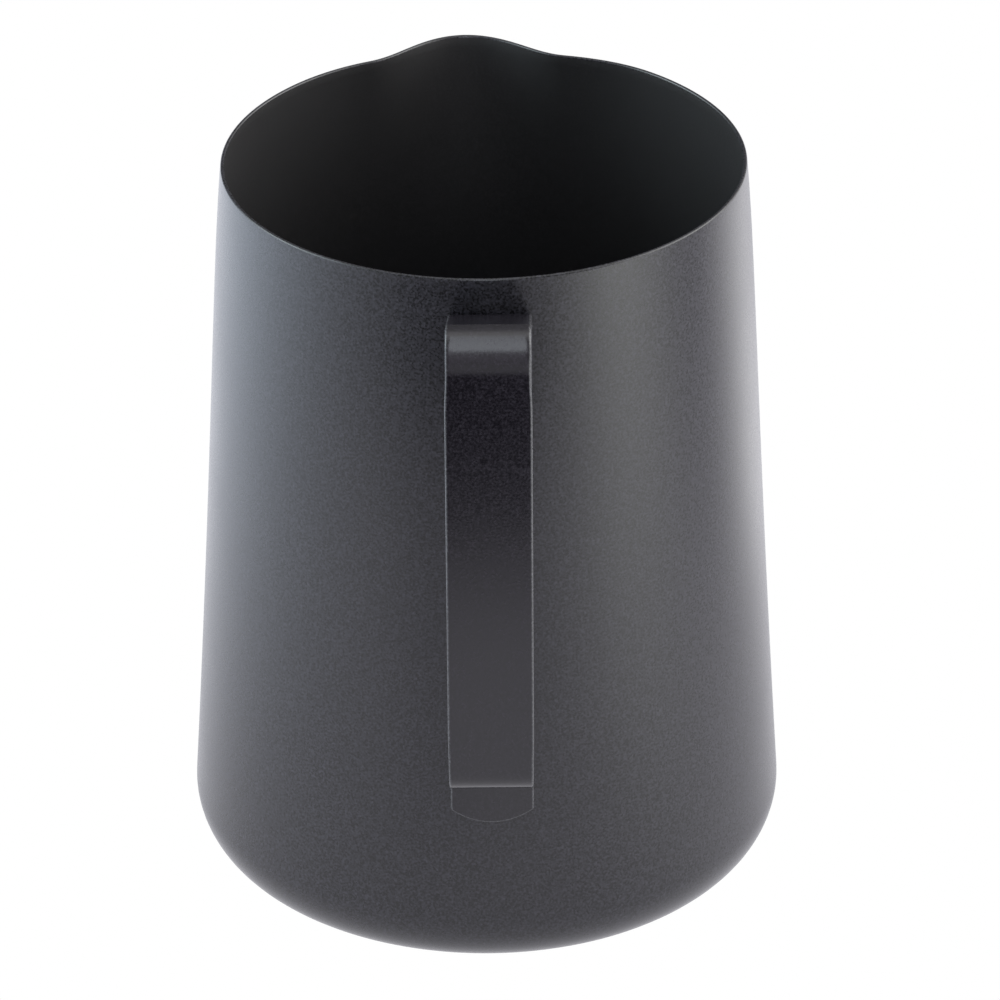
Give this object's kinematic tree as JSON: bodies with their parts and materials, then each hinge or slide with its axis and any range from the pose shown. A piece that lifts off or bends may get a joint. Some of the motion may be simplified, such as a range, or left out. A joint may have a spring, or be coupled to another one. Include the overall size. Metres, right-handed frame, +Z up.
{
  "type": "milk frothing pitcher",
  "caption": "Dark coated steel jug with a rounded foot, an open mouth with a pressed pouring lip, and a flat strap handle for steaming and pouring milk.",
  "frame": {"origin": "centre of the base's underside, on the jug's axis, at the level of the table it stands on", "axes": "+Z up along the jug's axis, -Y towards the handle, +Y towards the pouring lip, +X to the right of someone who faces the handle"},
  "size_m": [0.1042, 0.1271, 0.1357],
  "materials": {
    "jug_coating": "satin",
    "handle_coating": "satin",
    "weld_steel": "bare weld metal, sealed inside the joint"
  },
  "bodies": {
    "root": {"pitcher_body": "jug_coating", "handle_strap": "handle_coating", "upper_weld_nuggets": "weld_steel", "lower_weld_nuggets": "weld_steel"}
  },
  "joints": []
}
